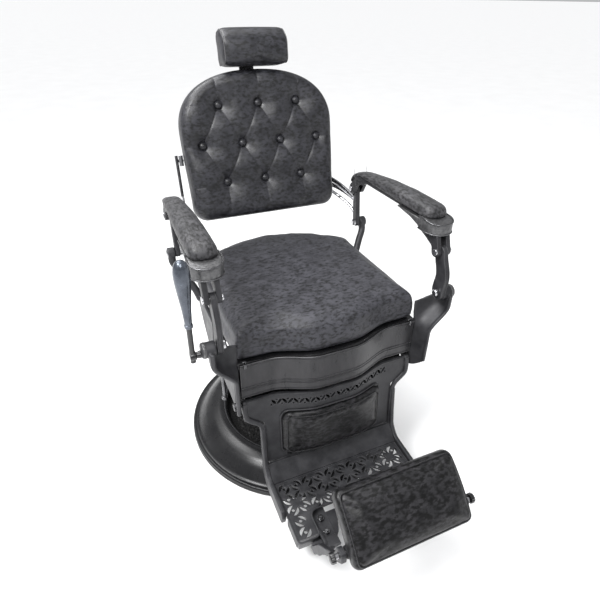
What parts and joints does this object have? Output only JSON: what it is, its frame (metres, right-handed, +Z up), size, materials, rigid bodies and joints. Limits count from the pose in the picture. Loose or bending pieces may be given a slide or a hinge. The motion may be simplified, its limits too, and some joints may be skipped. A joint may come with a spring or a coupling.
{
  "type": "hydraulic barber chair",
  "caption": "Vintage hydraulic barber chair with reclining back and linked armrests, adjustable headrest, leg rest, flip-over foot pad and round pump base.",
  "frame": {"origin": "centre of the round base, on the floor", "axes": "+Z up; the chair faces -Y; +X is to the right as seen from in front"},
  "size_m": [0.7185, 1.0939, 1.1778],
  "materials": {
    "cast_pewter": "dark pewter-coloured casting, satin, with worn bright edges",
    "hammered_silver": "hammered, semi-gloss",
    "dark_chrome": "dark polished chrome",
    "bright_chrome": "bright polished chrome",
    "black_enamel": "gloss black",
    "blued_steel": "blue-grey, glossy",
    "black_rubber": "matt",
    "charcoal_leather": "mottled charcoal leather, satin",
    "painted_board": "black painted plywood"
  },
  "bodies": {
    "base": {"base_plate": "cast_pewter", "base_dish": "cast_pewter", "base_rubber_ring": "black_rubber", "pump_seal_ring": "black_rubber", "pump_cylinder": "black_enamel"},
    "column": {"lift_piston": "bright_chrome"},
    "seat": {"swivel_hub": "cast_pewter", "seat_spider": "cast_pewter", "rear_tie_bar": "cast_pewter", "side_frame_left": "cast_pewter", "side_frame_right": "cast_pewter", "apron": "cast_pewter", "recline_lock_cylinder": "bright_chrome", "back_pivot_bolt_left": "bright_chrome", "back_pivot_bolt_right": "bright_chrome", "post_pivot_bolt_left": "bright_chrome", "post_pivot_bolt_right": "bright_chrome", "seat_board": "painted_board", "seat_cushion": "charcoal_leather"},
    "backrest": {"back_board": "painted_board", "back_cushion": "charcoal_leather", "back_arm_left": "dark_chrome", "back_arm_right": "dark_chrome", "headrest_socket": "cast_pewter"},
    "headrest_bar": {"headrest_bar": "dark_chrome"},
    "headrest": {"headrest_shell": "cast_pewter", "headrest_cushion": "charcoal_leather"},
    "armrest_left": {"armrest_rail_left": "cast_pewter", "armrest_cap_left": "hammered_silver", "armrest_pad_left": "charcoal_leather"},
    "post_left": {"front_post_left": "cast_pewter"},
    "armrest_right": {"armrest_rail_right": "cast_pewter", "armrest_cap_right": "hammered_silver", "armrest_pad_right": "charcoal_leather"},
    "post_right": {"front_post_right": "cast_pewter"},
    "leg_rest": {"leg_panel": "cast_pewter", "leg_rail_left": "cast_pewter", "leg_rail_right": "cast_pewter", "kick_plate": "cast_pewter", "footplate": "cast_pewter", "foot_pad_arm_left": "cast_pewter", "foot_pad_arm_right": "cast_pewter", "calf_pad": "charcoal_leather", "leg_pivot_bolt_left": "bright_chrome", "leg_pivot_bolt_right": "bright_chrome"},
    "foot_pad": {"foot_pad_shell": "cast_pewter", "foot_pad_cushion": "charcoal_leather", "foot_pad_shaft": "bright_chrome", "foot_pad_knob_left": "black_enamel", "foot_pad_knob_right": "black_enamel"},
    "lever": {"pump_lever_arm": "blued_steel", "pump_lever_grip": "blued_steel"}
  },
  "joints": [
    {"name": "seat_lift", "type": "slide", "parent": "base", "child": "column", "axis": [0, 0, 1], "range_m": [0, 0.15]},
    {"name": "seat_swivel", "type": "hinge", "parent": "column", "child": "seat", "pos_m": [0, 0, 0.34], "axis": [0, 0, 1], "continuous": true},
    {"name": "back_recline", "type": "hinge", "parent": "seat", "child": "backrest", "pos_m": [0, 0.162, 0.618], "axis": [-1, 0, 0], "range_deg": [0, 45]},
    {"name": "post_swing_left", "type": "hinge", "parent": "seat", "child": "post_left", "pos_m": [-0.297, -0.285, 0.598], "axis": [-1, 0, 0], "range_deg": [0, 45]},
    {"name": "armrest_level_left", "type": "hinge", "parent": "backrest", "child": "armrest_left", "pos_m": [-0.297, 0.18, 0.73], "axis": [-1, 0, 0], "range_deg": [-45, 0]},
    {"name": "post_swing_right", "type": "hinge", "parent": "seat", "child": "post_right", "pos_m": [0.297, -0.285, 0.598], "axis": [-1, 0, 0], "range_deg": [0, 45]},
    {"name": "armrest_level_right", "type": "hinge", "parent": "backrest", "child": "armrest_right", "pos_m": [0.297, 0.18, 0.73], "axis": [-1, 0, 0], "range_deg": [-45, 0]},
    {"name": "leg_rest_swing", "type": "hinge", "parent": "seat", "child": "leg_rest", "pos_m": [0, -0.262, 0.374], "axis": [-1, 0, 0], "range_deg": [0, 36]},
    {"name": "foot_pad_flip", "type": "hinge", "parent": "leg_rest", "child": "foot_pad", "pos_m": [0, -0.648, 0.266], "axis": [-1, 0, 0], "range_deg": [0, 180]},
    {"name": "headrest_height", "type": "slide", "parent": "backrest", "child": "headrest_bar", "axis": [0, 0.23, 0.9732], "range_m": [0, 0.08]},
    {"name": "headrest_tilt", "type": "hinge", "parent": "headrest_bar", "child": "headrest", "pos_m": [0, 0.37399, 1.11493], "axis": [-1, 0, 0], "range_deg": [-5, 35]},
    {"name": "pump_stroke", "type": "hinge", "parent": "seat", "child": "lever", "pos_m": [-0.357, -0.287, 0.588], "axis": [1, 0, 0], "range_deg": [0, 45]}
  ],
  "couplings": [
    {"joint": "post_swing_left", "follows": "back_recline", "ratio": 1},
    {"joint": "post_swing_right", "follows": "back_recline", "ratio": 1},
    {"joint": "armrest_level_left", "follows": "back_recline", "ratio": -1},
    {"joint": "armrest_level_right", "follows": "back_recline", "ratio": -1},
    {"joint": "leg_rest_swing", "follows": "back_recline", "ratio": 0.8}
  ]
}
